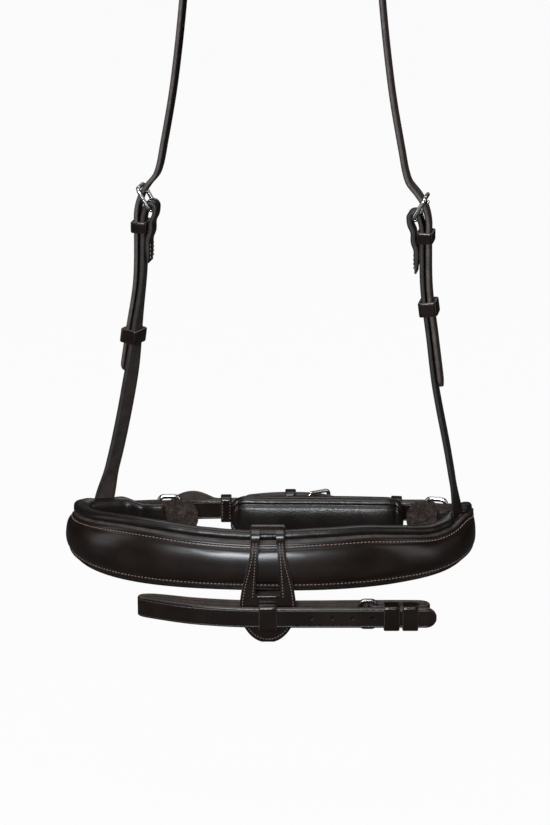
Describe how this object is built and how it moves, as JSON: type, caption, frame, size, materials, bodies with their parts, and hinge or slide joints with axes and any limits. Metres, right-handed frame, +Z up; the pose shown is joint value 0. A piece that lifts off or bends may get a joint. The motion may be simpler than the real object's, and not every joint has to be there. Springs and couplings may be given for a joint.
{
  "type": "crank noseband",
  "caption": "Padded crank noseband with a flash strap, cheek straps, a head strap over the poll and a doubled back strap that carries a padded chin piece.",
  "frame": {"origin": "middle of the head strap's underside, where it rests on the poll behind the ears", "axes": "+Z up; -Y is the front of the horse's face side of the nosepiece; +X to the right in the picture; the noseband hangs below the origin and its plan is turned about 10 degrees about Z, as it hangs in the picture"},
  "size_m": [0.2592, 0.1341, 0.5175],
  "materials": {
    "bridle_leather": "glossy finished outer face, very dark brown",
    "soft_padding": "soft grained lining leather, padded",
    "flesh_side_leather": "napped flesh side",
    "bright_steel": "polished",
    "dark_steel": "dark polished"
  },
  "bodies": {
    "noseband": {"head_strap": "bridle_leather", "left_cheek_strap": "bridle_leather", "right_cheek_strap": "bridle_leather", "left_cheek_fixed_keeper": "bridle_leather", "right_cheek_fixed_keeper": "bridle_leather", "nosepiece_leather": "bridle_leather", "nosepiece_padding": "soft_padding", "left_skin_guard": "flesh_side_leather", "right_skin_guard": "flesh_side_leather", "left_ring_chape": "bridle_leather", "right_ring_chape": "bridle_leather", "crank_strap": "bridle_leather", "crank_fixed_keeper": "bridle_leather"},
    "left_running_keeper": {"left_cheek_running_keeper": "bridle_leather"},
    "right_running_keeper": {"right_cheek_running_keeper": "bridle_leather"},
    "left_buckle": {"left_cheek_buckle_frame": "bright_steel"},
    "left_tongue": {"left_cheek_buckle_tongue": "bright_steel"},
    "right_buckle": {"right_cheek_buckle_frame": "bright_steel"},
    "right_tongue": {"right_cheek_buckle_tongue": "bright_steel"},
    "left_ring_body": {"left_ring": "bright_steel"},
    "right_ring_body": {"right_ring": "bright_steel"},
    "chin_pad_body": {"chin_pad": "soft_padding", "chin_pad_backing": "bridle_leather", "left_crank_keeper": "bridle_leather", "right_crank_keeper": "bridle_leather"},
    "crank_buckle": {"crank_buckle_frame": "bright_steel"},
    "crank_tongue": {"crank_buckle_tongue": "bright_steel"},
    "flash_loop_body": {"flash_loop": "bridle_leather", "flash_tab_keeper": "bridle_leather"},
    "flash_strap_body": {"flash_strap": "bridle_leather", "flash_fixed_keeper": "bridle_leather"},
    "flash_keeper": {"flash_running_keeper": "bridle_leather"},
    "flash_buckle": {"flash_buckle_frame": "dark_steel"},
    "flash_tongue": {"flash_buckle_tongue": "dark_steel"}
  },
  "joints": [
    {"name": "left_running_keeper_slide", "type": "slide", "parent": "noseband", "child": "left_running_keeper", "axis": [0.1339, 0, 0.991], "range_m": [-0.002, 0.002]},
    {"name": "right_running_keeper_slide", "type": "slide", "parent": "noseband", "child": "right_running_keeper", "axis": [-0.1339, 0, 0.991], "range_m": [-0.036, 0.004]},
    {"name": "left_buckle_hinge", "type": "hinge", "parent": "noseband", "child": "left_buckle", "pos_m": [-0.082, 0, -0.2615], "axis": [0, -1, 0], "range_deg": [0, 5]},
    {"name": "left_tongue_hinge", "type": "hinge", "parent": "left_buckle", "child": "left_tongue", "pos_m": [-0.082, 0, -0.2615], "axis": [0, -1, 0], "range_deg": [0, 3]},
    {"name": "right_buckle_hinge", "type": "hinge", "parent": "noseband", "child": "right_buckle", "pos_m": [0.082, 0, -0.2615], "axis": [0, 1, 0], "range_deg": [0, 5]},
    {"name": "right_tongue_hinge", "type": "hinge", "parent": "right_buckle", "child": "right_tongue", "pos_m": [0.082, 0, -0.2615], "axis": [0, 1, 0], "range_deg": [0, 3]},
    {"name": "left_ring_swivel", "type": "hinge", "parent": "noseband", "child": "left_ring_body", "pos_m": [-0.0828, 0.01379, -0.464], "axis": [0, 0, 1], "range_deg": [-2, 2]},
    {"name": "right_ring_swivel", "type": "hinge", "parent": "noseband", "child": "right_ring_body", "pos_m": [0.10042, 0.03902, -0.464], "axis": [0, 0, 1], "range_deg": [-2, 2]},
    {"name": "chin_pad_slide", "type": "slide", "parent": "noseband", "child": "chin_pad_body", "axis": [0.988, 0.1545, 0], "range_m": [-0.002, 0.002]},
    {"name": "crank_buckle_hinge", "type": "hinge", "parent": "noseband", "child": "crank_buckle", "pos_m": [0.01143, 0.03761, -0.464], "axis": [0, 0, 1], "range_deg": [0, 5]},
    {"name": "crank_tongue_hinge", "type": "hinge", "parent": "crank_buckle", "child": "crank_tongue", "pos_m": [0.01143, 0.03761, -0.464], "axis": [0, 0, 1], "range_deg": [0, 3]},
    {"name": "flash_loop_slide", "type": "hinge", "parent": "noseband", "child": "flash_loop_body", "pos_m": [-0.04509, 0.20527, -0.468], "axis": [0, 0, 1], "range_deg": [-1.2, 0.6]},
    {"name": "flash_strap_slide", "type": "slide", "parent": "flash_loop_body", "child": "flash_strap_body", "axis": [0.9848, 0.1736, 0], "range_m": [-0.005, 0.003]},
    {"name": "flash_running_keeper_slide", "type": "slide", "parent": "flash_strap_body", "child": "flash_keeper", "axis": [0.9848, 0.1736, 0], "range_m": [-0.0013, 0.001]},
    {"name": "flash_buckle_hinge", "type": "hinge", "parent": "flash_strap_body", "child": "flash_buckle", "pos_m": [0.06909, -0.06217, -0.4974], "axis": [0, 0, -1], "range_deg": [0, 8]},
    {"name": "flash_tongue_hinge", "type": "hinge", "parent": "flash_buckle", "child": "flash_tongue", "pos_m": [0.06909, -0.06217, -0.4974], "axis": [0, 0, 1], "range_deg": [0, 3]}
  ]
}
